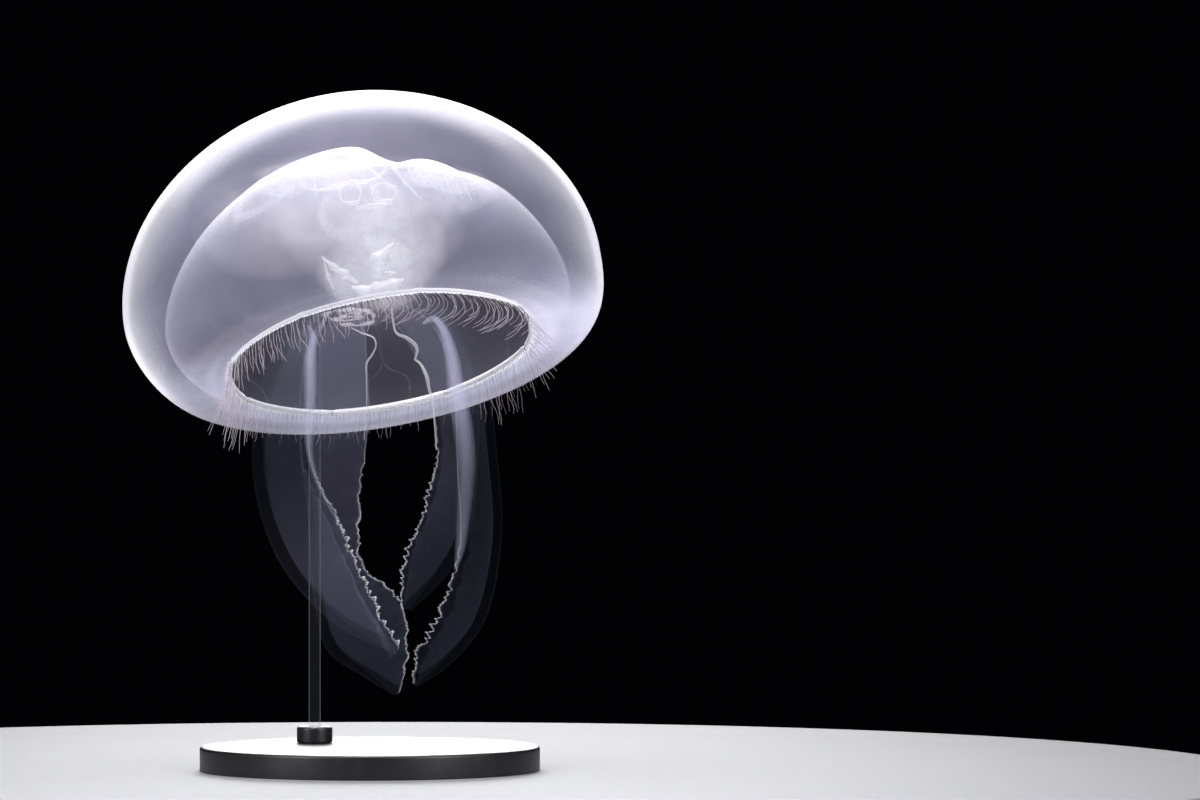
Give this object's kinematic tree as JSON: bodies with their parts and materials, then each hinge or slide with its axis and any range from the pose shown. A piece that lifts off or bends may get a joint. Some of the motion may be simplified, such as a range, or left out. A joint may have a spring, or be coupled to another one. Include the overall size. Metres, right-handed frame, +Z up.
{
  "type": "moon jellyfish",
  "caption": "Life-size still model of a moon jellyfish with a domed clear bell, fringed rim, horseshoe gonads and frilled oral arms, held by one clear rod on a round base.",
  "frame": {"origin": "centre of the base's flat underside, where the stand meets its table", "axes": "+Z up; -Y towards the side that the bell's opening turns to; the bell banks towards -X and leans back towards +Y"},
  "size_m": [0.2392, 0.2319, 0.3386],
  "materials": {
    "jelly": "clear wet jelly, lavender grey, brighter at its edges",
    "fringe": "pale rim with pinkish tentacles",
    "organ": "milky white folds",
    "arm": "thin blue-grey jelly with a beaded pale edge",
    "clear_rod": "clear polished acrylic",
    "base": "satin black with a softened edge"
  },
  "bodies": {
    "root": {"bell_crown": "jelly", "bell_lobe_right": "jelly", "rim_fringe_right": "fringe", "bell_lobe_back_right": "jelly", "rim_fringe_back_right": "fringe", "bell_lobe_back": "jelly", "rim_fringe_back": "fringe", "bell_lobe_back_left": "jelly", "rim_fringe_back_left": "fringe", "bell_lobe_left": "jelly", "rim_fringe_left": "fringe", "bell_lobe_front_left": "jelly", "rim_fringe_front_left": "fringe", "bell_lobe_front": "jelly", "rim_fringe_front": "fringe", "bell_lobe_front_right": "jelly", "rim_fringe_front_right": "fringe", "gonad_right": "organ", "gonad_back": "organ", "gonad_left": "organ", "gonad_front": "organ", "manubrium": "organ", "arm_front_left_upper": "arm", "arm_front_left_middle": "arm", "arm_front_left_tip": "arm", "arm_back_left_upper": "arm", "arm_back_left_middle": "arm", "arm_back_left_tip": "arm", "arm_back_right_upper": "arm", "arm_back_right_middle": "arm", "arm_back_right_tip": "arm", "arm_front_right_upper": "arm", "arm_front_right_middle": "arm", "arm_front_right_tip": "arm", "stand_pad": "clear_rod", "stand_rod": "clear_rod", "stand_collar": "base", "stand_base": "base"}
  },
  "joints": []
}
